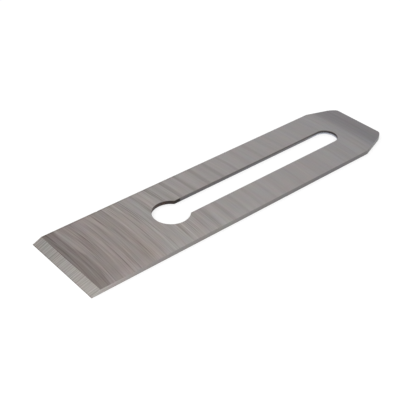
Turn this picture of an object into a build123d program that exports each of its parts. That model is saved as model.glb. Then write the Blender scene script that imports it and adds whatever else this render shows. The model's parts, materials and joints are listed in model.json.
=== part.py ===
from build123d import *
import os
from math import radians, tan

# Plane iron: the steel cutting blade of a bench plane, one flat plate 1 3/4 in wide.
# Millimetres. X runs from the cutting edge (-X) to the top end (+X), Y across the blade.
# The flat back lies on Z = 0 and the bevelled face looks up. The origin is on the back,
# midway between the cutting edge and the top end and midway between the long sides.

# Plate
blade_width = 44.45
blade_length = 186.0
blade_thickness = 2.1

# Cutting bevel, ground on the upper face down to a sharp edge on the back
bevel_angle = 25.0

# Keyhole slot, punched through on the centreline: the round hole lets the head of the cap
# iron screw pass, and the slot lets its shank slide while the edge is set
keyhole_from_edge = 59.0
keyhole_diameter = 17.8
slot_width = 11.8
slot_end_from_top = 19.0
keyhole_throat_radius = 0.8

# Top end: each corner is clipped at a shallow angle, then turned in more steeply to a
# rounded nose, so the outline bends twice between the long side and the end
clip_length = 17.6
clip_angle = 19.0
clip_round = 12.0
nose_length = 3.3
nose_angle = 38.0
nose_round = 2.7

# Width of the broken arris round every sheared edge; the cutting edge stays sharp
arris_break = 0.15

edge_x = -blade_length / 2
top_x = blade_length / 2
side_y = blade_width / 2
bevel_run = blade_thickness / tan(radians(bevel_angle))
keyhole_x = edge_x + keyhole_from_edge
slot_end_x = top_x - slot_end_from_top - slot_width / 2
clip_end_y = side_y - (clip_length - nose_length) * tan(radians(clip_angle))
nose_end_y = clip_end_y - nose_length * tan(radians(nose_angle))

# Outline of the blank seen from above: one half drawn, the other mirrored
with BuildSketch() as blank_outline:
    with BuildLine() as half_outline:
        FilletPolyline(
            (edge_x, 0),
            (edge_x, side_y),
            (top_x - clip_length, side_y),
            (top_x - nose_length, clip_end_y),
            (top_x, nose_end_y),
            (top_x, 0),
            radius=[0, 0, clip_round, nose_round],
        )
        mirror(about=Plane.XZ)
    make_face()

# Keyhole slot seen from above, with its two throat corners eased
with BuildSketch() as keyhole_slot:
    with Locations(((keyhole_x + slot_end_x) / 2, 0)):
        SlotCenterToCenter(slot_end_x - keyhole_x, slot_width)
    with Locations((keyhole_x, 0)):
        Circle(keyhole_diameter / 2)
    throat_corners = keyhole_slot.vertices().filter_by_position(Axis.X, keyhole_x, slot_end_x - slot_width / 2)
    fillet(throat_corners, keyhole_throat_radius)

# Section along the blade: a flat plate that ends in the bevel
with BuildSketch(Plane.XZ) as blade_section:
    with BuildLine():
        Polyline(
            (edge_x, 0),
            (top_x, 0),
            (top_x, blade_thickness),
            (edge_x + bevel_run, blade_thickness),
            close=True,
        )
    make_face()

with BuildPart() as plane_iron:
    extrude(blade_section.sketch, amount=blade_width, both=True)
    extrude(blank_outline.sketch, amount=blade_thickness, mode=Mode.INTERSECT)
    extrude(keyhole_slot.sketch, amount=blade_thickness, mode=Mode.SUBTRACT)

    # Every edge of the two flat faces is sheared, apart from the foremost one of each: the line
    # where the bevel starts and the cutting edge
    for flat_face in plane_iron.faces().filter_by(Axis.Z):
        sheared_edges = flat_face.edges().sort_by(Axis.X)[1:]
        chamfer(sheared_edges, arris_break)

plane_iron.part.label = "plane_iron"

os.makedirs("parts", exist_ok=True)
export_step(plane_iron.part, "parts/plane_iron.step")
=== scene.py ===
"""A bench plane's iron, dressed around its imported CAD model, on a plain white table.

The blade is one steel plate, so the picture has one piece: a closed mesh of the whole plate with
eased arrises, which a Geometry Nodes tree then scores with the grinder's marks. Sizes are in
millimetres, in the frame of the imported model, and a mesh is turned to metres as it is made.
"""

import json
import logging
import math
from dataclasses import dataclass, field, fields
from enum import IntEnum

import bmesh
import bpy
import numpy as np
from mathutils import Matrix, Vector


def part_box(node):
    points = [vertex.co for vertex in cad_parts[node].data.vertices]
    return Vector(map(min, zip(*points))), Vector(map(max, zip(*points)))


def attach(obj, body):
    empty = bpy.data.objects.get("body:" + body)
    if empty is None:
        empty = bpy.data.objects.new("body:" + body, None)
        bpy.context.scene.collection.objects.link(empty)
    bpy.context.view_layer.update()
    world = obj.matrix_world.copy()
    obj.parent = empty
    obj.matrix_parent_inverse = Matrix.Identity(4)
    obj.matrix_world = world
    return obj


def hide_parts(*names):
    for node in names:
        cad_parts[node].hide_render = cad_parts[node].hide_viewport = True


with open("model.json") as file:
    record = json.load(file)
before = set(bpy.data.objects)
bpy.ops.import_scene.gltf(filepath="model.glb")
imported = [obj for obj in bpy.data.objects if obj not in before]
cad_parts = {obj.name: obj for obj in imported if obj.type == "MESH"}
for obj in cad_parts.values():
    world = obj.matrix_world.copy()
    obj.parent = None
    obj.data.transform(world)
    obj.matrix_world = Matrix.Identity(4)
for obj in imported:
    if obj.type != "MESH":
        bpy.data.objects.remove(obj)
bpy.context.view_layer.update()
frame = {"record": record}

log = logging.getLogger("plane_iron")

MM = 0.001

Socket = bpy.types.NodeSocket
Number = float | Socket
Colour = tuple[float, ...] | Socket
Span = tuple[float, float]
Stops = tuple[tuple[float, str | float], ...]

# Where steel is darker it is also a little redder, so blue takes the most of any change in tone
STEEL_TINT = (0.96, 1.01, 1.04)


def srgb(hex_colour: str) -> tuple[float, ...]:
    """Turns an sRGB hex colour into linear light.

    Args:
        hex_colour: Six hex digits, with or without a leading #.

    Returns:
        Red, green, blue and an alpha of 1.
    """
    digits = hex_colour.lstrip("#")
    channels = [int(digits[i : i + 2], 16) / 255 for i in (0, 2, 4)]
    linear = [c / 12.92 if c <= 0.04045 else ((c + 0.055) / 1.055) ** 2.4 for c in channels]
    return (*linear, 1.0)


def add_node(
    tree: bpy.types.NodeTree, kind: str, inputs: dict[str | int, object] | None = None, **settings: object
) -> bpy.types.Node:
    """Adds a node to a tree, sets it up and links it.

    Args:
        tree: The tree that takes the node.
        kind: The node's type name.
        inputs: For each input, by name or number, a value or the output socket that feeds it.
        settings: The node's own properties.

    Returns:
        The new node.
    """
    node = tree.nodes.new(kind)
    for name, value in settings.items():
        setattr(node, name, value)
    for key, value in (inputs or {}).items():
        if isinstance(value, Socket):
            tree.links.new(value, node.inputs[key])
        else:
            node.inputs[key].default_value = value
    return node


def bare_tree(owner: bpy.types.Material | bpy.types.World) -> bpy.types.NodeTree:
    """Gives a material or a world a node tree with nothing in it.

    Args:
        owner: The material or the world.

    Returns:
        Its tree.
    """
    owner.use_nodes = True
    owner.node_tree.nodes.clear()
    return owner.node_tree


def add_object(name: str, data: bpy.types.ID) -> bpy.types.Object:
    """Adds an object to the scene.

    Args:
        name: The object's name.
        data: Its mesh, light or camera.

    Returns:
        The object.
    """
    added = bpy.data.objects.new(name, data)
    bpy.context.scene.collection.objects.link(added)
    return added


def stand(place: Vector, back: Vector) -> Matrix:
    """Stands a lamp or a camera at a place in millimetres, with its back towards a direction."""
    return Matrix.Translation(place * MM) @ back.to_track_quat("Z", "Y").to_matrix().to_4x4()


def titled(item: object) -> dict[str, object]:
    """Lists a dataclass's values, each under its field's name as a node tree shows it."""
    return {entry.name.replace("_", " ").title(): getattr(item, entry.name) for entry in fields(item)}


@dataclass(frozen=True)
class Formula:
    """Short sums written as nodes in one tree, so that a pattern reads like its formula."""

    tree: bpy.types.NodeTree

    def do(self, operation: str, *terms: Number) -> Socket:
        """Adds one Math node, with one term for each of its inputs."""
        inputs = dict(enumerate(terms))
        return add_node(self.tree, "ShaderNodeMath", inputs, operation=operation).outputs[0]

    def ease(
        self, value: Number, start: Number, end: Number, low: Number = 0.0, high: Number = 1.0
    ) -> Socket:
        """Eases from low to high while the value passes from start to end."""
        inputs = {"Value": value, "From Min": start, "From Max": end, "To Min": low, "To Max": high}
        return add_node(self.tree, "ShaderNodeMapRange", inputs, interpolation_type="SMOOTHSTEP").outputs[0]

    def blend(self, share: Number, first: Colour, second: Colour) -> Socket:
        """Blends two colours.

        Args:
            share: How much of the second colour there is, from 0 to 1.
            first: The first colour.
            second: The second colour.

        Returns:
            The blended colour's socket.
        """
        inputs = {"Factor": share, "A": first, "B": second}
        node = add_node(self.tree, "ShaderNodeMix", data_type="RGBA")
        for name, value in inputs.items():
            socket = next(s for s in node.inputs if s.name == name and s.enabled)
            if isinstance(value, Socket):
                self.tree.links.new(value, socket)
            else:
                socket.default_value = value
        return next(s for s in node.outputs if s.enabled)

    def ramp(self, value: Number, stops: Stops) -> Socket:
        """Runs through a row of colours or numbers as a value grows.

        Args:
            value: The value that is followed.
            stops: For each stop, the value it stands at, and its sRGB hex digits or a number from
                0 to 1.

        Returns:
            The result's socket.
        """
        first, last = stops[0][0], stops[-1][0]
        inputs = {"Value": value, "From Min": first, "From Max": last}
        place = add_node(self.tree, "ShaderNodeMapRange", inputs)
        node = add_node(self.tree, "ShaderNodeValToRGB", {0: place.outputs[0]})
        row = node.color_ramp.elements
        # A new ramp has two stops already
        for index, (at, result) in enumerate(stops):
            stop = row[index] if index < 2 else row.new(1.0)
            stop.position = (at - first) / (last - first)
            stop.color = srgb(result) if isinstance(result, str) else (result, result, result, 1.0)
        return node.outputs[0]

    def shade(self, colour: Colour, tone: Number, tint: tuple[float, ...] = STEEL_TINT) -> Socket:
        """Lightens or darkens a colour, each channel by its own share.

        Args:
            colour: The colour.
            tone: The change, 0 for none. Minus 0.1 takes a tenth of the light away.
            tint: How much of the change red, green and blue take.

        Returns:
            The shaded colour's socket.
        """
        change = add_node(self.tree, "ShaderNodeVectorMath", {0: tint, "Scale": tone}, operation="SCALE")
        inputs = {0: change.outputs[0], 1: colour, 2: colour}
        return add_node(self.tree, "ShaderNodeVectorMath", inputs, operation="MULTIPLY_ADD").outputs[0]

    def axes(self, place: Socket) -> tuple[Socket, ...]:
        """Splits a place in metres into its x, y and z in millimetres."""
        scaled = add_node(self.tree, "ShaderNodeVectorMath", {0: place, "Scale": 1 / MM}, operation="SCALE")
        return tuple(add_node(self.tree, "ShaderNodeSeparateXYZ", {0: scaled.outputs[0]}).outputs)

    def streaks(
        self, across: Number, along: Number, spacing: Number, length: Number, seed: Number
    ) -> Socket:
        """Draws long streaks as a noise that is drawn out one way.

        Args:
            across: Millimetres across the streaks.
            along: Millimetres along the streaks.
            spacing: The streaks' usual spacing, in millimetres.
            length: How far one streak runs before it changes, in millimetres.
            seed: Which draw of the noise is used.

        Returns:
            The noise's socket, about 0.5 on average.
        """
        parts = {0: self.do("DIVIDE", across, spacing), 1: self.do("DIVIDE", along, length), 2: seed}
        vector = add_node(self.tree, "ShaderNodeCombineXYZ", parts).outputs[0]
        inputs = {"Vector": vector, "Scale": 1.0, "Detail": 1.0, "Roughness": 0.5}
        return add_node(self.tree, "ShaderNodeTexNoise", inputs, noise_dimensions="3D").outputs[0]

    def swing(self, *terms: Number) -> Socket:
        """Draws the same streaks about 0, so that they lighten as much as they darken."""
        return self.do("SUBTRACT", self.streaks(*terms), 0.5)

    def wave(self, operation: str, turns: Number) -> Socket:
        """Takes the SINE or the COSINE of an angle that is given in whole turns."""
        return self.do(operation, self.do("MULTIPLY", turns, math.tau))


class Surface(IntEnum):
    """The blade's surfaces, numbered as their materials are."""

    FLAT = 0
    BEVEL = 1
    SIDE = 2
    SLOT = 3

    @property
    def steel(self) -> str:
        """The name of the input that takes this surface's steel."""
        return f"{self.name.title()} Steel"


@dataclass(frozen=True)
class GrindingMarks:
    """Where the grinder's wheel ran, in millimetres.

    On the flats the wheel crossed the blade on a shallow arc. On the bevel it ran back from the
    cutting edge, a little askew. In a node tree the numbers may be sockets.
    """

    bow_radius: Number = 220.0
    bow_centre: Number = 3.5
    bevel_slope: Number = -0.12
    bevel_fan: Number = 0.004

    def bow(self, y: np.ndarray) -> np.ndarray:
        """Gives how far a mark falls back towards the cutting edge at each y."""
        return (y - self.bow_centre) ** 2 / (2 * self.bow_radius)

    def across_flat(self, sums: Formula, x: Number, y: Number) -> Socket:
        """Gives the distance along the blade that stays the same all along one bowed mark.

        Args:
            sums: The formula writer of the tree that takes the sum.
            x: Millimetres along the blade.
            y: Millimetres across it.

        Returns:
            The distance's socket.
        """
        off_centre = sums.do("SUBTRACT", y, self.bow_centre)
        bow = sums.do("DIVIDE", sums.do("POWER", sums.do("ABSOLUTE", off_centre), 2.0), self.bow_radius)
        return sums.do("ADD", x, sums.do("MULTIPLY", bow, 0.5))

    def across_bevel(self, sums: Formula, x: Number, y: Number) -> Socket:
        """Gives the distance across the blade that stays the same all along one mark on the bevel."""
        slope = sums.do("MULTIPLY_ADD", y, self.bevel_fan, self.bevel_slope)
        return sums.do("SUBTRACT", y, sums.do("MULTIPLY", x, slope))


MARKS = GrindingMarks()


@dataclass(frozen=True)
class StreakLayer:
    """One layer of streaks or patches.

    The spacing and the length are in millimetres. The contrast is a share of the metal's tone,
    first where the layer is strong and then where it has faded. The fade says between which
    distances from the cutting edge that happens, and the tint how much of it each colour takes.
    """

    spacing: float
    length: float
    contrast: Span
    fade: Span
    seed: float
    tint: tuple[float, ...] = STEEL_TINT

    def draw(self, sums: Formula, across: Number, along: Number) -> Socket:
        """Draws the layer's change in tone, 0 on average. Across is from the cutting edge."""
        noise = sums.swing(across, along, self.spacing, self.length, self.seed)
        return sums.do("MULTIPLY", noise, sums.ease(across, *self.fade, *self.contrast))


@dataclass(frozen=True)
class Steel:
    """What every finish of the steel shares: bare metal, a place to read and a film of oxide."""

    edge_x: float
    name: str
    roughness: float
    # Oxide too thin to see as a film tints the steel, once from yellow to blue and once from
    # pink to green
    films: tuple[StreakLayer, ...] = (
        StreakLayer(4.0, 8.0, contrast=(0.11, 0.1), fade=(60.0, 120.0), seed=41.6, tint=(1.0, -0.1, -0.85)),
        StreakLayer(2.6, 5.0, contrast=(0.09, 0.08), fade=(60.0, 120.0), seed=52.3, tint=(0.4, -1.0, 0.6)),
    )

    def start(self) -> tuple[bpy.types.Material, bpy.types.Node, Formula, tuple[Socket, ...]]:
        """Makes the material with its shader.

        Returns:
            The material, its shader, the formula writer of its tree, and the sockets of x from the
            cutting edge, y and z in millimetres.
        """
        material = bpy.data.materials.new(self.name)
        tree = bare_tree(material)
        inputs = {"Metallic": 1.0, "Roughness": self.roughness}
        shader = add_node(tree, "ShaderNodeBsdfPrincipled", inputs)
        add_node(tree, "ShaderNodeOutputMaterial", {"Surface": shader.outputs[0]})
        place = add_node(tree, "ShaderNodeTexCoord").outputs["Object"]
        sums = Formula(tree)
        x, y, z = sums.axes(place)
        return material, shader, sums, (sums.do("SUBTRACT", x, self.edge_x), y, z)

    def dress(self, shader: bpy.types.Node, sums: Formula, colour: Socket, x: Number, y: Number) -> None:
        """Tints a colour with the films of oxide and gives it to the shader.

        Args:
            shader: The material's shader.
            sums: The formula writer of its tree.
            colour: The colour of the bare steel.
            x: Millimetres from the cutting edge.
            y: Millimetres across the blade.
        """
        for film in self.films:
            colour = sums.shade(colour, film.draw(sums, x, y), film.tint)
        sums.tree.links.new(colour, shader.inputs["Base Color"])


@dataclass(frozen=True)
class Chatter:
    """Dark lines at an even pitch, where the wheel bounced as the blade passed under it.

    The steel is a little lighter after each line. Lengths are in millimetres from the cutting
    edge. The depth and the swell are shares of the metal's tone.
    """

    first: float = 17.8
    pitch: float = 8.72
    depth: float = 0.14
    # A line starts where the wave's cosine passes the first value and is deepest at the second
    crest: Span = (0.5, 1.0)
    swell: float = 0.012
    wander: float = 0.2
    seed: float = 5.5
    # On the near side the lines are weaker. The two numbers are y
    near_side: Span = (-8.0, 8.0)
    near_share: float = 0.45
    strength: Stops = (
        (12.0, 0.0),
        (17.0, 0.55),
        (50.0, 0.65),
        (61.0, 1.0),
        (96.0, 1.0),
        (110.0, 0.5),
        (128.0, 0.35),
        (150.0, 0.0),
    )

    def draw(self, sums: Formula, across: Number, y: Number) -> Socket:
        """Draws the lines.

        Args:
            sums: The formula writer of the material's tree.
            across: Millimetres across the marks, from the cutting edge.
            y: Millimetres across the blade.

        Returns:
            The socket of the change in tone.
        """
        drift = sums.swing(across, y, self.pitch, 2 * self.pitch, self.seed)
        turns = sums.do("DIVIDE", sums.do("SUBTRACT", across, self.first), self.pitch)
        turns = sums.do("MULTIPLY_ADD", drift, self.wander, turns)
        line = sums.ease(sums.wave("COSINE", turns), *self.crest, 0.0, -self.depth)
        wave = sums.do("MULTIPLY_ADD", sums.wave("SINE", turns), self.swell, line)
        wave = sums.do("MULTIPLY", wave, sums.ease(y, *self.near_side, self.near_share, 1.0))
        return sums.do("MULTIPLY", wave, sums.ramp(across, self.strength))


@dataclass(frozen=True)
class DwellBand:
    """The dull band behind the bevel, where the wheel dwelt and rippled before it moved on.

    Lengths are in millimetres from the cutting edge, and the shades are shares of the metal's
    tone. The streaks of the other passes are calmer in the band.
    """

    shade: float = 0.285
    # Where the band ends at each y. It bulges where the wheel dwelt a second time
    ends: Stops = (
        (-22.0, 9.6),
        (-18.0, 10.4),
        (-13.0, 11.5),
        (-7.0, 12.1),
        (-1.0, 12.4),
        (3.0, 11.6),
        (7.0, 10.7),
        (14.0, 10.1),
        (22.0, 10.3),
    )
    softness: float = 0.6
    ripple_first: float = 5.95
    ripple_pitch: float = 3.3
    ripple_shade: float = 0.045
    streak_share: float = 0.85
    # A darker strip where the bevel starts
    heel: Span = (4.5, 5.2)
    heel_shade: float = 0.1

    def draw(self, sums: Formula, x: Number, y: Number) -> tuple[Socket, Socket]:
        """Draws the band.

        Args:
            sums: The formula writer of the material's tree.
            x: Millimetres from the cutting edge.
            y: Millimetres across the blade.

        Returns:
            The sockets of the change in tone and of the share that other streaks keep.
        """
        longest = max(end for _, end in self.ends)
        share = sums.ramp(y, tuple((at, end / longest) for at, end in self.ends))
        past = sums.do("MULTIPLY_ADD", share, -longest, x)
        inside = sums.ease(past, -self.softness, self.softness, 1.0, 0.0)
        turns = sums.do("DIVIDE", sums.do("SUBTRACT", x, self.ripple_first), self.ripple_pitch)
        tone = sums.do("MULTIPLY_ADD", sums.wave("COSINE", turns), -self.ripple_shade, -self.shade)
        tone = sums.do("ADD", tone, sums.ease(x, *self.heel, -self.heel_shade, 0.0))
        return sums.do("MULTIPLY", tone, inside), sums.do("MULTIPLY_ADD", inside, self.streak_share - 1, 1.0)


@dataclass(frozen=True)
class SurfaceGroundSteel(Steel):
    """Tool steel, surface ground: a soft grey sheen crossed by fine bowed streaks.

    The wheel left the cutting end browner and more deeply marked, with thin dark scratches, and
    marked the near side less. Lengths are in millimetres from the cutting edge.
    """

    name: str = "surface_ground_tool_steel"
    roughness: float = 0.4
    zones: Stops = (
        (10.0, "#8D8582"),
        (24.0, "#918885"),
        (33.0, "#8B837F"),
        (38.0, "#98908C"),
        (46.0, "#999491"),
        (70.0, "#96918F"),
        (110.0, "#969190"),
        (170.0, "#8E8B8B"),
        (176.0, "#8D8B8E"),
    )
    # Real wheel marks are finer, about 0.05 mm apart. These are the bundles of them that show
    layers: tuple[StreakLayer, ...] = (
        StreakLayer(spacing=0.4, length=20.0, contrast=(0.76, 0.1), fade=(50.0, 92.0), seed=2.45),
        StreakLayer(spacing=1.2, length=45.0, contrast=(0.42, 0.15), fade=(56.0, 96.0), seed=19.4),
    )
    swell: StreakLayer = StreakLayer(5.0, 80.0, contrast=(0.28, 0.16), fade=(30.0, 120.0), seed=14.4)
    # Patches of stronger and weaker marks, where the plate met the wheel unevenly
    patch: StreakLayer = StreakLayer(7.0, 13.0, contrast=(1.8, 1.4), fade=(60.0, 120.0), seed=21.3)
    least_patch: float = 0.2
    # The share of the marks that the near side has, before and past a stretch of x. The side's
    # own two numbers are y
    near_share: Span = (0.75, 1.15)
    near_share_stretch: Span = (36.0, 60.0)
    near_side: Span = (-16.0, 6.0)
    scratch: StreakLayer = StreakLayer(0.6, 30.0, contrast=(1.0, 0.0), fade=(46.0, 88.0), seed=30.8)
    scratch_depth: float = 0.27
    scratch_share: Span = (0.12, 0.2)
    chatter: Chatter = Chatter()
    dwell: DwellBand = DwellBand()
    # Along the middle the near side is painted a little brighter than the far side, a painted highlight,
    # between these y
    lift_side: Span = (-14.0, 12.0)
    lift: Span = (0.03, -0.01)
    lift_stretch: Stops = ((14.0, 0.3), (24.0, 1.0), (104.0, 1.0), (128.0, 0.0))
    # Nearer the cutting end the near edge is brighter still and the far arris is dull. The first
    # two numbers of each are y
    near_edge: Span = (-21.5, -15.5)
    near_lift: float = 0.11
    far_edge: Span = (21.0, 21.6)
    far_shade: float = 0.2
    edge_stretch: Stops = (
        (8.0, 0.6),
        (20.0, 1.0),
        (34.0, 1.0),
        (42.0, 0.6),
        (84.0, 0.5),
        (98.0, 0.0),
    )
    # The top end is painted darker, painted shade for the darker part of the room that it reflects
    top_shade: float = 0.275
    top_band: Span = (169.5, 177.0)

    def bands(self, sums: Formula, x: Number, y: Number, dwell: Number) -> Socket:
        """Works out the broad changes in tone: the dwell band, the top band's painted shade, the near side's
        painted highlight, and the edges.

        Args:
            sums: The formula writer of the material's tree.
            x: Millimetres from the cutting edge.
            y: Millimetres across the blade.
            dwell: The dwell band's own change in tone.

        Returns:
            The socket of the change in tone.
        """
        tone = sums.do("ADD", dwell, sums.ease(x, *self.top_band, 0.0, -self.top_shade))
        lift = sums.ease(y, *self.lift_side, *self.lift)
        tone = sums.do("MULTIPLY_ADD", lift, sums.ramp(x, self.lift_stretch), tone)
        near_edge = sums.ease(y, *self.near_edge, self.near_lift, 0.0)
        edges = sums.do("ADD", near_edge, sums.ease(y, *self.far_edge, 0.0, -self.far_shade))
        return sums.do("MULTIPLY_ADD", edges, sums.ramp(x, self.edge_stretch), tone)

    def material(self) -> bpy.types.Material:
        """Builds the material.

        Returns:
            The material.
        """
        material, shader, sums, (x, y, _) = self.start()
        across = MARKS.across_flat(sums, x, y)
        dwell, kept = self.dwell.draw(sums, x, y)
        near_share = sums.ease(across, *self.near_share_stretch, *self.near_share)
        kept = sums.do("MULTIPLY", kept, sums.ease(y, *self.near_side, near_share, 1.0))
        patchy = sums.do("ADD", self.patch.draw(sums, across, y), 1.0)
        patchy = sums.do("MULTIPLY", sums.do("MAXIMUM", patchy, self.least_patch), kept)
        tone = self.bands(sums, x, y, dwell)
        tone = sums.do("MULTIPLY_ADD", self.swell.draw(sums, across, y), kept, tone)
        for layer in self.layers:
            tone = sums.do("MULTIPLY_ADD", layer.draw(sums, across, y), patchy, tone)
        scratch = self.scratch.draw(sums, across, y)
        scratch = sums.ease(scratch, *self.scratch_share, 0.0, -self.scratch_depth)
        scratch = sums.do("MULTIPLY_ADD", scratch, kept, self.chatter.draw(sums, across, y))
        colour = sums.shade(sums.ramp(across, self.zones), sums.do("ADD", tone, scratch))
        self.dress(shader, sums, colour, x, y)
        return material


@dataclass(frozen=True)
class BevelGroundSteel(Steel):
    """Tool steel, ground on a coarser wheel: paler, with fine marks that run back from the edge."""

    name: str = "bevel_ground_tool_steel"
    roughness: float = 0.38
    # The near end of the bevel is painted brighter than the far end, painted light for how the light falls
    # across it. The first number is y
    zones: Stops = ((-20.0, "#A49E9A"), (20.0, "#918D89"))
    # Real marks are finer, about 0.1 mm apart. These are the bundles of them that show
    spacing: float = 0.36
    mark_length: float = 11.0
    contrast: float = 0.65
    seed: float = 3.5
    # The wheel's dressing left a hatch of about one line a millimetre. It is nearly even, and
    # wanders by a line or two from one patch to the next
    hatch_pitch: float = 1.12
    hatch_contrast: float = 0.13
    wander: float = 2.0
    wander_spacing: float = 3.4
    wander_length: float = 33.0
    wander_seed: float = 7.4
    # Along the cutting edge a thin strip is painted dark, a painted reflection of the dark that the honed
    # edge faces
    burr: Span = (0.15, 0.45)
    burr_shade: float = 0.3

    def material(self) -> bpy.types.Material:
        """Builds the material.

        Returns:
            The material.
        """
        material, shader, sums, (x, y, _) = self.start()
        across = MARKS.across_bevel(sums, x, y)
        noise = sums.swing(across, x, self.spacing, self.mark_length, self.seed)
        drift = sums.streaks(across, x, self.wander_spacing, self.wander_length, self.wander_seed)
        turns = sums.do("MULTIPLY_ADD", drift, self.wander, sums.do("DIVIDE", across, self.hatch_pitch))
        tone = sums.do("MULTIPLY", noise, self.contrast)
        tone = sums.do("MULTIPLY_ADD", sums.wave("SINE", turns), self.hatch_contrast, tone)
        tone = sums.do("ADD", tone, sums.ease(x, *self.burr, -self.burr_shade, 0.0))
        self.dress(shader, sums, sums.shade(sums.ramp(y, self.zones), tone), x, y)
        return material


@dataclass(frozen=True)
class ShearedSteel(Steel):
    """Tool steel, sheared and dressed along its length, painted brighter near the cutting edge."""

    name: str = "sheared_tool_steel"
    roughness: float = 0.5
    # Painted reflection: the walls are painted brighter near the cutting edge and on the clipped corners,
    # standing in for the brighter table that they reflect there
    zones: Stops = (
        (6.0, "#B2ACA9"),
        (28.0, "#9C9694"),
        (50.0, "#94908E"),
        (72.0, "#94918F"),
        (95.0, "#888584"),
        (130.0, "#807D7E"),
        (160.0, "#7D7A7C"),
        (168.0, "#807D7E"),
        (174.0, "#918E8E"),
    )
    # File strokes along the edge. Real ones are finer, about 0.1 mm apart
    spacing: float = 0.3
    mark_length: float = 26.0
    contrast: float = 0.3
    seed: float = 6.6
    # Painted shade in the lower arris, where the wall meets the table
    foot_height: float = 0.3
    foot_shade: float = 0.5

    def material(self) -> bpy.types.Material:
        """Builds the material.

        Returns:
            The material.
        """
        material, shader, sums, (x, y, z) = self.start()
        noise = sums.swing(z, x, self.spacing, self.mark_length, self.seed)
        foot = sums.ease(z, 0.0, self.foot_height, -self.foot_shade, 0.0)
        tone = sums.do("MULTIPLY_ADD", noise, self.contrast, foot)
        self.dress(shader, sums, sums.shade(sums.ramp(x, self.zones), tone), x, y)
        return material


@dataclass(frozen=True)
class PunchedSteel(Steel):
    """Tool steel, punched: smooth where the punch went in, torn and duller below.

    The keyhole's wall is almost black, with brown rust in it. Lengths are in millimetres.
    """

    name: str = "punched_tool_steel"
    roughness: float = 0.55
    burnished: Stops = (
        (50.5, "#6E6A6A"),
        (56.0, "#4C4443"),
        (66.0, "#3A3534"),
        (68.8, "#2E2A29"),
        (69.5, "#767272"),
        (120.0, "#6A6867"),
        (158.0, "#625F5F"),
        (166.5, "#4A4648"),
    )
    # Torn steel, which is painted brighter and bluer towards the slot's end as a painted reflection of the
    # lit table
    torn: Stops = (
        (50.5, "#807E80"),
        (53.0, "#625E5E"),
        (60.0, "#524B4A"),
        (68.6, "#383433"),
        (69.4, "#706E70"),
        (152.0, "#8A888B"),
        (159.0, "#B4B5BE"),
        (167.0, "#BEC0CA"),
    )
    # The torn steel starts between these heights, with a ragged edge
    tear_height: Span = (1.0, 1.4)
    ragged: float = 0.6
    # Round the slot's end the punch went deeper before the steel tore, and the torn steel there carries a
    # painted reflection of the lit table
    deep_stretch: Span = (151.0, 160.0)
    deep_by: float = 0.4
    # The grinder left the rim nearly as bright as the flats, apart from the slot's end
    rim: Stops = (
        (58.0, "#8B8684"),
        (120.0, "#8B8684"),
        (160.0, "#7C7675"),
        (167.0, "#6E6765"),
    )
    rim_height: Span = (1.8, 2.0)
    # The punch drew the steel down in upright marks
    spacing: float = 0.45
    mark_length: float = 1.6
    contrast: float = 0.3
    seed: float = 4.4
    rust: str = "#5A4538"
    rust_size: float = 2.2
    # A spot of rust starts where its noise passes the first value and is full at the second
    rust_edge: Span = (0.42, 0.62)
    rust_share: float = 0.45
    rust_ends: Span = (60.0, 69.0)
    rust_seed: float = 8.8

    def material(self) -> bpy.types.Material:
        """Builds the material.

        Returns:
            The material.
        """
        material, shader, sums, (x, y, z) = self.start()
        grain = sums.swing(x, z, self.spacing, self.mark_length, self.seed)
        height = sums.do("ADD", z, sums.ease(x, *self.deep_stretch, 0.0, self.deep_by))
        tear = sums.ease(sums.do("MULTIPLY_ADD", grain, self.ragged, height), *self.tear_height)
        colour = sums.blend(tear, sums.ramp(x, self.torn), sums.ramp(x, self.burnished))
        colour = sums.shade(colour, sums.do("MULTIPLY", grain, self.contrast))
        spots = sums.streaks(x, sums.do("ADD", y, z), self.rust_size, self.rust_size, self.rust_seed)
        share = sums.ease(x, *self.rust_ends, self.rust_share, 0.0)
        spots = sums.do("MULTIPLY", sums.ease(spots, *self.rust_edge), share)
        colour = sums.blend(spots, colour, srgb(self.rust))
        colour = sums.blend(sums.ease(z, *self.rim_height), colour, sums.ramp(x, self.rim))
        self.dress(shader, sums, colour, x, y)
        return material


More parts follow.
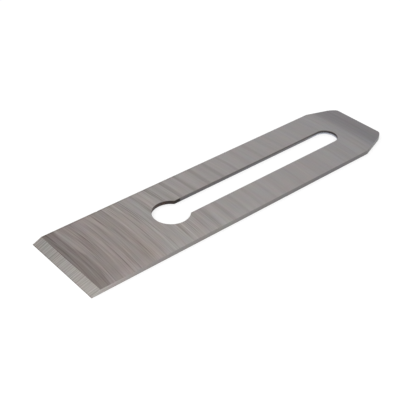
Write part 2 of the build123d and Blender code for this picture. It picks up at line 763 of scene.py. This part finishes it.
@dataclass
class Outline:
    """A line of straights and arcs, drawn like a pen's path, with the steel on one side of it.

    It runs towards +X and never turns back, so that every x has one point.
    """

    x: float
    y: float
    heading: float
    steel_turn: float
    # The most that an arc turns from one point to the next, in degrees
    arc_step: float = 3.0
    # Every x is rounded to this many digits, so that rows which meet have exactly the same x
    digits: int = 6
    points: list[tuple[float, ...]] = field(default_factory=list)

    def __post_init__(self) -> None:
        """Puts the first point down."""
        self.put()

    def put(self, turn: float = 0.0) -> "Outline":
        """Puts a point down where the pen is.

        Args:
            turn: Degrees to the left that the pen has just turned there.

        Returns:
            The outline itself.
        """
        inward = math.radians(self.heading - turn / 2 + self.steel_turn)
        mitre = 1 / math.cos(math.radians(turn / 2))
        self.points.append((self.x, self.y, mitre * math.cos(inward), mitre * math.sin(inward)))
        return self

    def line(self, length: float) -> "Outline":
        """Draws a straight stretch.

        Args:
            length: The stretch's length.

        Returns:
            The outline itself.
        """
        self.x += length * math.cos(math.radians(self.heading))
        self.y += length * math.sin(math.radians(self.heading))
        return self.put()

    def corner(self, turn: float) -> "Outline":
        """Turns on the spot and mitres the last point.

        Args:
            turn: Degrees that it turns to the left. A negative turn goes right.

        Returns:
            The outline itself.
        """
        self.heading += turn
        self.points.pop()
        return self.put(turn)

    def arc(self, radius: float, turn: float) -> "Outline":
        """Draws an arc.

        Args:
            radius: The arc's radius.
            turn: Degrees that it turns to the left. A negative turn goes right.

        Returns:
            The outline itself.
        """
        steps = max(2, math.ceil(abs(turn) / self.arc_step))
        chord = 2 * radius * math.sin(math.radians(abs(turn) / steps / 2))
        for _ in range(steps):
            self.heading += turn / steps / 2
            self.x += chord * math.cos(math.radians(self.heading))
            self.y += chord * math.sin(math.radians(self.heading))
            self.heading += turn / steps / 2
            self.put()
        return self

    def reach(self, depth: float) -> np.ndarray:
        """Lists the x of every point once the outline is moved into the steel by depth."""
        x, _, in_x, _ = np.array(self.points).T
        return np.maximum.accumulate(x + depth * in_x).round(self.digits)

    def beside(self, x: np.ndarray, depth: float) -> tuple[np.ndarray, ...]:
        """Finds the points that have a given x once the outline is moved into the steel.

        Args:
            x: The x of each point after the move.
            depth: How far the outline is moved.

        Returns:
            The x and y of each point before the move, and the x and y of the way into the steel.
        """
        order = np.arange(len(self.points))
        place = np.interp(x, self.reach(depth), order)
        return tuple(np.interp(place, order, values) for values in np.array(self.points).T)


@dataclass
class Skin:
    """Gathers the blade's faces patch by patch, then joins them into one closed mesh."""

    points: list[np.ndarray] = field(default_factory=list)
    faces: list[tuple[int, ...]] = field(default_factory=list)
    surfaces: list[int] = field(default_factory=list)
    count: int = 0

    def loft(self, rows: list[np.ndarray], surface: Surface) -> None:
        """Covers the space from each row of points to the next.

        Args:
            rows: For each row, its points as x, y, z and how deep the wheel marks there, 0 to 1.
            surface: The surface that the faces belong to.
        """
        first = None
        for row in rows:
            if first is not None:
                faces = self.stitch(first, self.count - first, self.count, len(row))
                self.faces += faces
                self.surfaces += [int(surface)] * len(faces)
            first = self.count
            self.points.append(row)
            self.count += len(row)

    @staticmethod
    def stitch(low: int, low_count: int, high: int, high_count: int) -> list[tuple[int, ...]]:
        """Joins two rows by squares, or by triangles where their counts differ.

        Args:
            low: The first row's first point.
            low_count: The first row's count.
            high: The second row's first point.
            high_count: The second row's count.

        Returns:
            The faces, each as its points.
        """
        if low_count == high_count:
            return [(low + i, low + i + 1, high + i + 1, high + i) for i in range(low_count - 1)]
        faces = []
        i = j = 0
        while i + j < low_count + high_count - 2:
            if (i + 1) * (high_count - 1) <= (j + 1) * (low_count - 1):
                faces.append((low + i, low + i + 1, high + j))
                i += 1
            else:
                faces.append((low + i, high + j + 1, high + j))
                j += 1
        return faces

    def mesh(self, name: str, join_distance: float, sharp_angle: float) -> bpy.types.Mesh:
        """Joins the patches into one closed mesh in metres.

        Args:
            name: The mesh's name.
            join_distance: Points nearer than this are one point.
            sharp_angle: Edges that turn by more degrees than this stay sharp.

        Returns:
            The mesh, with each face's surface and each point's depth of marks as attributes.
        """
        table = np.concatenate(self.points)
        mesh = bpy.data.meshes.new(name)
        mesh.from_pydata((table[:, :3] * MM).tolist(), [], self.faces)
        marked = mesh.attributes.new("marked", "FLOAT", "POINT")
        marked.data.foreach_set("value", table[:, 3].copy())
        surface = mesh.attributes.new("surface", "INT", "FACE")
        surface.data.foreach_set("value", self.surfaces)
        shell = bmesh.new()
        shell.from_mesh(mesh)
        bmesh.ops.remove_doubles(shell, verts=shell.verts, dist=join_distance * MM)
        bmesh.ops.recalc_face_normals(shell, faces=shell.faces)
        for face in shell.faces:
            face.smooth = True
        for edge in shell.edges:
            edge.smooth = edge.calc_face_angle(0.0) < math.radians(sharp_angle)
        shell.to_mesh(mesh)
        shell.free()
        return mesh


@dataclass(frozen=True)
class GrindingRelief:
    """The grooves that the wheels cut, as a Geometry Nodes tree that scores a closed mesh.

    Sizes are in millimetres. A groove only goes into the steel, so the blade keeps to its box.
    """

    edge_x: float
    nick_place: tuple[float, ...]
    seed: int = 3
    # Real grooves are finer than the mesh can hold, so these are bundles of them
    groove_depth: float = 0.01
    groove_spacing: float = 0.9
    groove_length: float = 50.0
    faded_depth: float = 0.003
    fade_from: float = 55.0
    fade_to: float = 115.0
    bevel_groove_depth: float = 0.01
    bevel_groove_spacing: float = 0.7
    bevel_groove_length: float = 12.0
    # The x of a face's normal, below which the face is on the bevel or the cutting edge
    bevel_facing: float = -0.2
    nick_size: float = 0.7
    nick_depth: float = 0.14

    def inputs(self, finishes: dict[Surface, Steel]) -> dict[str, object]:
        """Lists the value of each of the tree's named inputs, by its name."""
        steels = {surface.steel: finish.material() for surface, finish in finishes.items()}
        return titled(self) | titled(MARKS) | steels

    def cut(self, sums: Formula, given: bpy.types.NodeOutputs, normal: Socket) -> Socket:
        """Works out how deep the steel is cut at each point.

        Args:
            sums: The formula writer of the tree.
            given: The tree's inputs.
            normal: The mesh's normal.

        Returns:
            The depth's socket.
        """
        tree = sums.tree
        place = add_node(tree, "GeometryNodeInputPosition").outputs[0]
        x, y, _ = sums.axes(place)
        x = sums.do("SUBTRACT", x, given["Edge X"])
        marks = GrindingMarks(*(given[name] for name in titled(MARKS)))
        across = marks.across_flat(sums, x, y)
        groove = sums.streaks(across, y, given["Groove Spacing"], given["Groove Length"], given["Seed"])
        fade = (given["Fade From"], given["Fade To"], given["Groove Depth"], given["Faded Depth"])
        flat = sums.do("MULTIPLY", groove, sums.ease(across, *fade))
        across = marks.across_bevel(sums, x, y)
        sizes = (given["Bevel Groove Spacing"], given["Bevel Groove Length"], given["Seed"])
        bevel = sums.do("MULTIPLY", sums.streaks(across, x, *sizes), given["Bevel Groove Depth"])
        facing = add_node(tree, "ShaderNodeSeparateXYZ", {0: normal}).outputs[0]
        on_bevel = sums.do("LESS_THAN", facing, given["Bevel Facing"])
        depth = sums.do("MULTIPLY_ADD", on_bevel, sums.do("SUBTRACT", bevel, flat), flat)
        marked = add_node(tree, "GeometryNodeInputNamedAttribute", {"Name": "marked"}, data_type="FLOAT")
        scaled = add_node(tree, "ShaderNodeVectorMath", {0: place, "Scale": 1 / MM}, operation="SCALE")
        gap = {0: scaled.outputs[0], 1: given["Nick Place"]}
        distance = add_node(tree, "ShaderNodeVectorMath", gap, operation="DISTANCE").outputs["Value"]
        nick = sums.ease(distance, 0.0, given["Nick Size"], given["Nick Depth"], 0.0)
        return sums.do("MULTIPLY_ADD", depth, marked.outputs[0], nick)

    def tree(self, values: dict[str, object]) -> bpy.types.NodeTree:
        """Builds the tree.

        Args:
            values: The value of each input, by its name.

        Returns:
            The tree.
        """
        kinds = {int: "Int", float: "Float", tuple: "Vector", bpy.types.Material: "Material"}
        tree = bpy.data.node_groups.new("grinding_relief", "GeometryNodeTree")
        tree.interface.new_socket("Geometry", in_out="INPUT", socket_type="NodeSocketGeometry")
        for name, value in values.items():
            tree.interface.new_socket(name, in_out="INPUT", socket_type=f"NodeSocket{kinds[type(value)]}")
        tree.interface.new_socket("Geometry", in_out="OUTPUT", socket_type="NodeSocketGeometry")
        given = add_node(tree, "NodeGroupInput").outputs
        sums = Formula(tree)
        normal = add_node(tree, "GeometryNodeInputNormal").outputs[0]
        inward = sums.do("MULTIPLY", self.cut(sums, given, normal), -MM)
        offset = add_node(tree, "ShaderNodeVectorMath", {0: normal, "Scale": inward}, operation="SCALE")
        inputs = {"Geometry": given["Geometry"], "Offset": offset.outputs[0]}
        shape = add_node(tree, "GeometryNodeSetPosition", inputs).outputs[0]
        shape = add_node(tree, "GeometryNodeRealizeInstances", {"Geometry": shape}).outputs[0]
        numbers = add_node(tree, "GeometryNodeInputNamedAttribute", {"Name": "surface"}, data_type="INT")
        # The flats' steel goes on every face, and the other surfaces then take theirs over it
        for surface in Surface:
            inputs = {"Geometry": shape, "Material": given[surface.steel]}
            if surface is not Surface.FLAT:
                pair = {2: numbers.outputs[0], 3: int(surface)}
                chosen = add_node(tree, "FunctionNodeCompare", pair, data_type="INT", operation="EQUAL")
                inputs["Selection"] = chosen.outputs[0]
            shape = add_node(tree, "GeometryNodeSetMaterial", inputs).outputs[0]
        add_node(tree, "NodeGroupOutput", {0: shape})
        return tree

    def score(self, blade: bpy.types.Object, finishes: dict[Surface, Steel]) -> None:
        """Scores the blade, dresses its surfaces and keeps the result as its mesh.

        Args:
            blade: The blade's object.
            finishes: The finish of each surface.
        """
        values = self.inputs(finishes)
        modifier = blade.modifiers.new("grinding_relief", "NODES")
        modifier.node_group = self.tree(values)
        for item in modifier.node_group.interface.items_tree:
            if item.name in values:
                modifier[item.identifier] = values[item.name]
        evaluated = blade.evaluated_get(bpy.context.evaluated_depsgraph_get())
        scored = bpy.data.meshes.new_from_object(evaluated)
        blade.modifiers.clear()
        blade.data = scored


@dataclass
class PlaneIron:
    """The blade: one plate with a keyhole slot, a ground bevel and clipped top corners."""

    node: str = "plane_iron"
    slot: str = "blade_steel"
    bevel_angle: float = 25.0
    keyhole_throat_radius: float = 0.8
    slot_width: float = 11.8
    slot_end_from_top: float = 19.0
    clip_length: float = 17.6
    clip_angle: float = 19.0
    clip_round: float = 12.0
    nose_length: float = 3.3
    nose_angle: float = 38.0
    nose_round: float = 2.7
    # The slot and the corners were punched together, a little off the middle of the strip
    punch_offset: float = 0.35
    arris: float = 0.15
    arris_steps: int = 4
    # Where the bevel is thinner than this, its arrises are smaller too
    full_arris_height: float = 0.45
    # The foot of a punched wall lies this deep in the steel, where it tore below this height
    tear: float = 0.15
    tear_height: float = 1.4
    # Rows of points run across the blade, finely spaced up to this far from the cutting edge
    row_pitch: float = 0.2
    far_row_pitch: float = 0.4
    fine_rows_to: float = 95.0
    least_pitch: float = 0.01
    bevel_rows: int = 14
    columns: int = 14
    bevel_columns: int = 120
    # The rows follow the bow of the marks. These are the stretches in which the bow grows and
    # fades, from the cutting edge
    bow_grows: Span = (4.5, 20.0)
    bow_fades: Span = (138.0, 164.0)
    nick_from_edge: float = 33.4
    # Points nearer than this are one point, and edges that turn by more degrees stay sharp
    join_distance: float = 0.0005
    sharp_angle: float = 24.0
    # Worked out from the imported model
    edge_x: float = field(init=False)
    top_x: float = field(init=False)
    side_y: float = field(init=False)
    thickness: float = field(init=False)
    bevel_end_x: float = field(init=False)
    keyhole_x: float = field(init=False)
    keyhole_radius: float = field(init=False)
    slot_end_x: float = field(init=False)
    outer: dict[int, Outline] = field(init=False)
    inner: Outline = field(init=False)

    def __post_init__(self) -> None:
        """Takes the plate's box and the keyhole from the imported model, and draws the outlines."""
        low, high = (np.array(corner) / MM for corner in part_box(self.node))
        keyhole = next(m for m in frame["record"]["mounts"] if m["name"] == "keyhole")
        self.edge_x, self.top_x = float(low[0]), float(high[0])
        self.side_y = float(high[1] - low[1]) / 2
        self.thickness = float(high[2] - low[2])
        self.bevel_end_x = self.edge_x + self.thickness / math.tan(math.radians(self.bevel_angle))
        self.keyhole_x = keyhole["pos_m"][0] / MM
        self.keyhole_radius = keyhole["dims"]["r_mm"]
        self.slot_end_x = self.top_x - self.slot_end_from_top - self.slot_width / 2
        self.outer = {side: self.outer_outline(side) for side in (1, -1)}
        self.inner = self.inner_outline()

    def outer_outline(self, side: int) -> Outline:
        """Draws a long side and its half of the top end.

        Args:
            side: 1 on the far side of the blade, -1 on the near side.

        Returns:
            The outline, with its y measured outwards from the punch's centreline.
        """
        offset = side * self.punch_offset
        clip_length = self.clip_length - offset / math.tan(math.radians(self.clip_angle))
        clip_run = clip_length - self.nose_length
        clip_turn = self.nose_angle - self.clip_angle
        nose_turn = 90 - self.nose_angle
        clip_tangent = self.clip_round * math.tan(math.radians(clip_turn / 2))
        nose_tangent = self.nose_round * math.tan(math.radians(nose_turn / 2))
        pen = Outline(self.edge_x, self.side_y - offset, 0.0, steel_turn=-90.0)
        pen.line(self.top_x - self.edge_x - clip_length).corner(-self.clip_angle)
        pen.line(clip_run / math.cos(math.radians(self.clip_angle)) - clip_tangent)
        pen.arc(self.clip_round, -clip_turn)
        pen.line(self.nose_length / math.cos(math.radians(self.nose_angle)) - clip_tangent - nose_tangent)
        return pen.arc(self.nose_round, -nose_turn)

    def inner_outline(self) -> Outline:
        """Draws the far half of the keyhole slot, from the keyhole to the slot's end.

        Returns:
            The outline, with its y measured outwards from the punch's centreline.
        """
        half_slot = self.slot_width / 2
        ease = self.keyhole_throat_radius
        throat_y = half_slot + ease
        throat_x = math.sqrt((self.keyhole_radius + ease) ** 2 - throat_y**2)
        throat_angle = math.degrees(math.atan2(throat_y, throat_x))
        pen = Outline(self.keyhole_x - self.keyhole_radius, 0.0, 90.0, steel_turn=90.0)
        pen.arc(self.keyhole_radius, throat_angle - 180).arc(ease, 90 - throat_angle)
        pen.line(self.slot_end_x - self.keyhole_x - throat_x)
        return pen.arc(half_slot, -90.0)

    def spread(self, columns: int) -> np.ndarray:
        """Shares out a row's points from 0 to 1, with one close to each end to hold the arris."""
        hold = self.arris / self.side_y
        return np.concatenate([[0.0], np.linspace(hold, 1 - hold, columns - 1), [1.0]])

    def stations(self) -> np.ndarray:
        """Finds where the rows of points run.

        A row runs through every bend of the outlines, so that the walls meet the faces, and the
        space between two bends is shared out evenly.

        Returns:
            The x of each row, from the cutting edge to the top end.
        """
        bevel = np.linspace(self.edge_x, self.bevel_end_x, self.bevel_rows + 1)
        inner, *outer = (line.reach(self.arris) for line in (self.inner, *self.outer.values()))
        keys = {*bevel, *inner[[0, -1]], outer[0][-1]}
        bends = [x for x in np.concatenate([inner, *outer]) if x > self.bevel_end_x]
        marks = keys | {x for x in bends if min(abs(x - key) for key in keys) > self.least_pitch}
        rows = [self.edge_x]
        for mark in sorted(marks)[1:]:
            gap = mark - rows[-1]
            if gap < self.least_pitch and mark not in keys:
                continue
            fine = mark < self.edge_x + self.fine_rows_to
            count = math.ceil(gap / (self.row_pitch if fine else self.far_row_pitch))
            rows += list(np.linspace(rows[-1], mark, count + 1)[1:])
        return np.array(rows)

    def levels(self, heights: np.ndarray, tear: float = 0.0) -> tuple[np.ndarray, np.ndarray]:
        """Works out how a wall goes down from the upper face's arris to the lower one's.

        Args:
            heights: The plate's thickness at each row.
            tear: How far the foot of a punched wall lies in the steel, no more than the arris.

        Returns:
            For each row and level, how far it lies inside the outline, and its height.
        """
        arris = self.arris * np.clip(heights / self.full_arris_height, 0, 1)[:, None]
        turn = np.linspace(0, np.pi / 2, self.arris_steps + 1)
        insets = [arris * (1 - np.sin(turn)), arris * (1 - np.cos(turn))]
        drops = [heights[:, None] - arris * (1 - np.cos(turn)), arris * (1 - np.sin(turn))]
        if tear:
            insets[1] = np.maximum(insets[1], tear * (1 - drops[1] / self.tear_height))
            insets.insert(1, np.zeros((len(heights), 1)))
            drops.insert(1, np.full((len(heights), 1), self.tear_height))
        return np.hstack(insets), np.hstack(drops)

    def bow(self, x: np.ndarray) -> np.ndarray:
        """Works out how closely each row follows the bow of the marks.

        Args:
            x: The x of each row.

        Returns:
            For each row, a share from 0, straight across the blade, to 1, along a mark.
        """
        from_edge = x - self.edge_x
        grown = np.clip((from_edge - self.bow_grows[0]) / np.ptp(self.bow_grows), 0, 1)
        return grown * np.clip((self.bow_fades[1] - from_edge) / np.ptp(self.bow_fades), 0, 1)

    def face(
        self, x: np.ndarray, side: int, ends: tuple[np.ndarray, ...], slotted: np.ndarray, columns: int
    ) -> np.ndarray:
        """Lays out the points of one flat face, on one side of the centreline.

        Args:
            x: The x of each row.
            side: 1 on the far side of the blade, -1 on the near side.
            ends: The y of each row's start and end, measured outwards from the punch's centreline.
            slotted: For each row, whether it starts at the slot.
            columns: How many squares a row has.

        Returns:
            For each row and point, its x and y, a z of 0, and how deep the wheel marks there.
        """
        start, end = (values[:, None] for values in ends)
        y = self.punch_offset + side * (start + self.spread(columns) * (end - start))
        fall = self.bow(x)[:, None] * (MARKS.bow(y) - MARKS.bow(y[:, :1]))
        marked = np.ones_like(y)
        marked[:, -1] = 0
        marked[slotted, 0] = 0
        marked[np.isin(x, (x[0], self.bevel_end_x, x[-1]))] = 0
        return np.dstack([x[:, None] - fall, y, np.zeros_like(y), marked])

    def face_mesh(self) -> bpy.types.Mesh:
        """Builds the plate: rows of points along the blade, joined round its whole section.

        Returns:
            The plate's mesh.
        """
        x = self.stations()
        heights = np.clip((x - self.edge_x) * math.tan(math.radians(self.bevel_angle)), 0, self.thickness)
        insets, drops = self.levels(heights)
        slot_start, slot_end = self.inner.reach(self.arris)[[0, -1]]
        slotted = (x >= slot_start) & (x <= slot_end)
        slot_levels = self.levels(heights[slotted], self.tear)
        inner = self.inner.beside(x, self.arris)
        inner_y = np.where(slotted, inner[1] + self.arris * inner[3], 0.0)
        last_bevel = int(np.flatnonzero(x <= self.bevel_end_x)[-1])
        skin = Skin()
        middle = []
        for side, outline in self.outer.items():
            outer = outline.beside(x, self.arris)
            ends = (inner_y, outer[1] + insets[:, 0] * outer[3])
            lower = self.face(x, side, ends, slotted, self.columns)
            fine = self.face(x, side, ends, slotted, self.bevel_columns)
            upper = lower.copy()
            upper[:, :, 2] = heights[:, None]
            fine[:, :, 2] = heights[:, None]
            skin.loft([*fine[: last_bevel + 1]], Surface.BEVEL)
            skin.loft([fine[last_bevel], *upper[last_bevel + 1 :]], Surface.FLAT)
            skin.loft([fine[0], *lower[1:]], Surface.FLAT)
            rim = outline.beside(lower[:, -1, 0], self.arris)
            skin.loft(self.wall(rim, side, insets, drops), Surface.SIDE)
            rim = tuple(values[slotted] for values in inner)
            skin.loft(self.wall(rim, side, *slot_levels), Surface.SLOT)
            middle.append(upper[-1])
        rim = np.concatenate([middle[0][::-1], middle[1][1:]])
        skin.loft(self.top_wall(rim, insets[-1], drops[-1]), Surface.SIDE)
        return skin.mesh(self.node, self.join_distance, self.sharp_angle)

    def top_wall(self, rim: np.ndarray, insets: np.ndarray, drops: np.ndarray) -> list[np.ndarray]:
        """Drops the flat wall of the top end.

        Args:
            rim: The points of the upper face's last row.
            insets: For each level, how far it lies inside the top end.
            drops: For each level, its height.

        Returns:
            The points of each level, from the upper face to the lower.
        """
        rows = np.repeat(rim[None], len(drops), axis=0)
        rows[:, :, 0] = self.top_x - insets[:, None]
        rows[:, :, 2] = drops[:, None]
        return [*rows]

    def wall(
        self, rim: tuple[np.ndarray, ...], side: int, insets: np.ndarray, drops: np.ndarray
    ) -> list[np.ndarray]:
        """Drops a wall from a rim.

        Args:
            rim: The outline's points beside each row, and the way into the steel there.
            side: 1 on the far side of the blade, -1 on the near side.
            insets: For each row and level, how far it lies inside the outline.
            drops: For each row and level, its height.

        Returns:
            The points of each row, from the upper face to the lower.
        """
        line_x, line_y, in_x, in_y = (values[:, None] for values in rim)
        x, y = line_x + insets * in_x, self.punch_offset + side * (line_y + insets * in_y)
        return [*np.dstack([x, y, drops, np.zeros_like(x)])]

    def build(self) -> bpy.types.Object:
        """Builds and dresses the blade.

        Returns:
            The blade's object.
        """
        blade = add_object("ground_blade", self.face_mesh())
        finishes = {
            Surface.FLAT: SurfaceGroundSteel(self.edge_x),
            Surface.BEVEL: BevelGroundSteel(self.edge_x),
            Surface.SIDE: ShearedSteel(self.edge_x),
            Surface.SLOT: PunchedSteel(self.edge_x),
        }
        nick = (self.edge_x + self.nick_from_edge, self.side_y, self.thickness)
        GrindingRelief(self.edge_x, nick).score(blade, finishes)
        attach(blade, "root")
        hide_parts(self.node)
        return blade


@dataclass(frozen=True)
class Studio:
    """The white table, the light around it and the camera. Lengths are in millimetres."""

    camera_azimuth: float = -131.036
    camera_elevation: float = 35.778
    camera_distance: float = 395.89
    camera_target: tuple[float, float, float] = (-16.062, 1.329, 0.0)
    camera_roll: float = 0.865
    camera_clip: float = 1.0
    focal_pixels: float = 854.625
    frame_pixels: float = 400.0
    sensor_width: float = 36.0
    table_size: float = 6000.0
    table_colour: str = "#F4F4F4"
    table_white: float = 1.15
    table_white_share: float = 0.56
    table_mirrored_share: float = 0.35
    sky_bright: float = 1.1
    sky_dim: float = 0.85
    sky_bright_azimuth: float = 110.0
    lamp_place: tuple[float, float, float] = (-300.0, -200.0, 210.0)
    lamp_size: float = 340.0
    lamp_watts: float = 0.35

    def add_table(self) -> None:
        """Adds the table, which shows white and keeps the blade's faint shadow."""
        half = self.table_size / 2 * MM
        corners = [(-half, -half, 0), (half, -half, 0), (half, half, 0), (-half, half, 0)]
        mesh = bpy.data.meshes.new("table")
        mesh.from_pydata(corners, [], [(0, 1, 2, 3)])
        material = bpy.data.materials.new("white_card")
        tree = bare_tree(material)
        sums = Formula(tree)
        path = add_node(tree, "ShaderNodeLightPath").outputs
        mirrored = sums.do("MAXIMUM", path["Is Glossy Ray"], path["Is Transmission Ray"])
        card = add_node(tree, "ShaderNodeBsdfDiffuse", {"Color": srgb(self.table_colour)})
        white = add_node(tree, "ShaderNodeEmission", {"Strength": self.table_white})
        share = sums.do("MULTIPLY", path["Is Camera Ray"], self.table_white_share)
        share = sums.do("MULTIPLY_ADD", mirrored, self.table_mirrored_share, share)
        both = add_node(tree, "ShaderNodeMixShader", {0: share, 1: card.outputs[0], 2: white.outputs[0]})
        add_node(tree, "ShaderNodeOutputMaterial", {"Surface": both.outputs[0]})
        mesh.materials.append(material)
        add_object("table", mesh)

    def add_sky(self) -> None:
        """Adds the white tent of light round the table, a little brighter on one side."""
        world = bpy.data.worlds.new("light_tent")
        tree = bare_tree(world)
        sums = Formula(tree)
        direction = add_node(tree, "ShaderNodeTexCoord").outputs["Generated"]
        azimuth = math.radians(self.sky_bright_azimuth)
        towards = (math.cos(azimuth), math.sin(azimuth), 0.0)
        side = add_node(tree, "ShaderNodeVectorMath", {0: direction, 1: towards}, operation="DOT_PRODUCT")
        strength = sums.ease(side.outputs["Value"], -1.0, 1.0, self.sky_dim, self.sky_bright)
        seen = add_node(tree, "ShaderNodeLightPath").outputs["Is Camera Ray"]
        strength = sums.do("MULTIPLY_ADD", seen, sums.do("SUBTRACT", 1.0, strength), strength)
        tent = add_node(tree, "ShaderNodeBackground", {"Color": (1.0, 1.0, 1.0, 1.0), "Strength": strength})
        add_node(tree, "ShaderNodeOutputWorld", {"Surface": tent.outputs[0]})
        bpy.context.scene.world = world

    def add_lamp(self) -> None:
        """Adds the soft lamp that stands beside the cutting edge."""
        data = bpy.data.lights.new("softbox", "AREA")
        data.size = self.lamp_size * MM
        data.energy = self.lamp_watts
        place = Vector(self.lamp_place)
        add_object("softbox", data).matrix_world = stand(place, place)

    def add_camera(self) -> None:
        """Adds the camera where the photograph was taken from."""
        azimuth, elevation = math.radians(self.camera_azimuth), math.radians(self.camera_elevation)
        flat = math.cos(elevation)
        away = Vector((flat * math.cos(azimuth), flat * math.sin(azimuth), math.sin(elevation)))
        data = bpy.data.cameras.new("camera")
        data.sensor_width = self.sensor_width
        data.lens = self.focal_pixels / self.frame_pixels * self.sensor_width
        data.clip_start = self.camera_clip * MM
        camera = add_object("camera", data)
        roll = Matrix.Rotation(math.radians(self.camera_roll), 4, "Z")
        place = Vector(self.camera_target) + away * self.camera_distance
        camera.matrix_world = stand(place, away) @ roll
        bpy.context.scene.camera = camera

    def build(self) -> None:
        """Builds the table, the light and the camera."""
        self.add_table()
        self.add_sky()
        self.add_lamp()
        self.add_camera()
        bpy.context.scene.view_settings.view_transform = "Standard"


def main() -> None:
    """Builds the blade and its studio, and reports each piece."""
    logging.basicConfig(level=logging.INFO, format="%(name)s: %(message)s")
    blade = PlaneIron().build()
    log.info("%s: %d faces", blade.name, len(blade.data.polygons))
    Studio().build()
    log.info("studio: table, tent and camera")


if __name__ == "__main__":
    main()
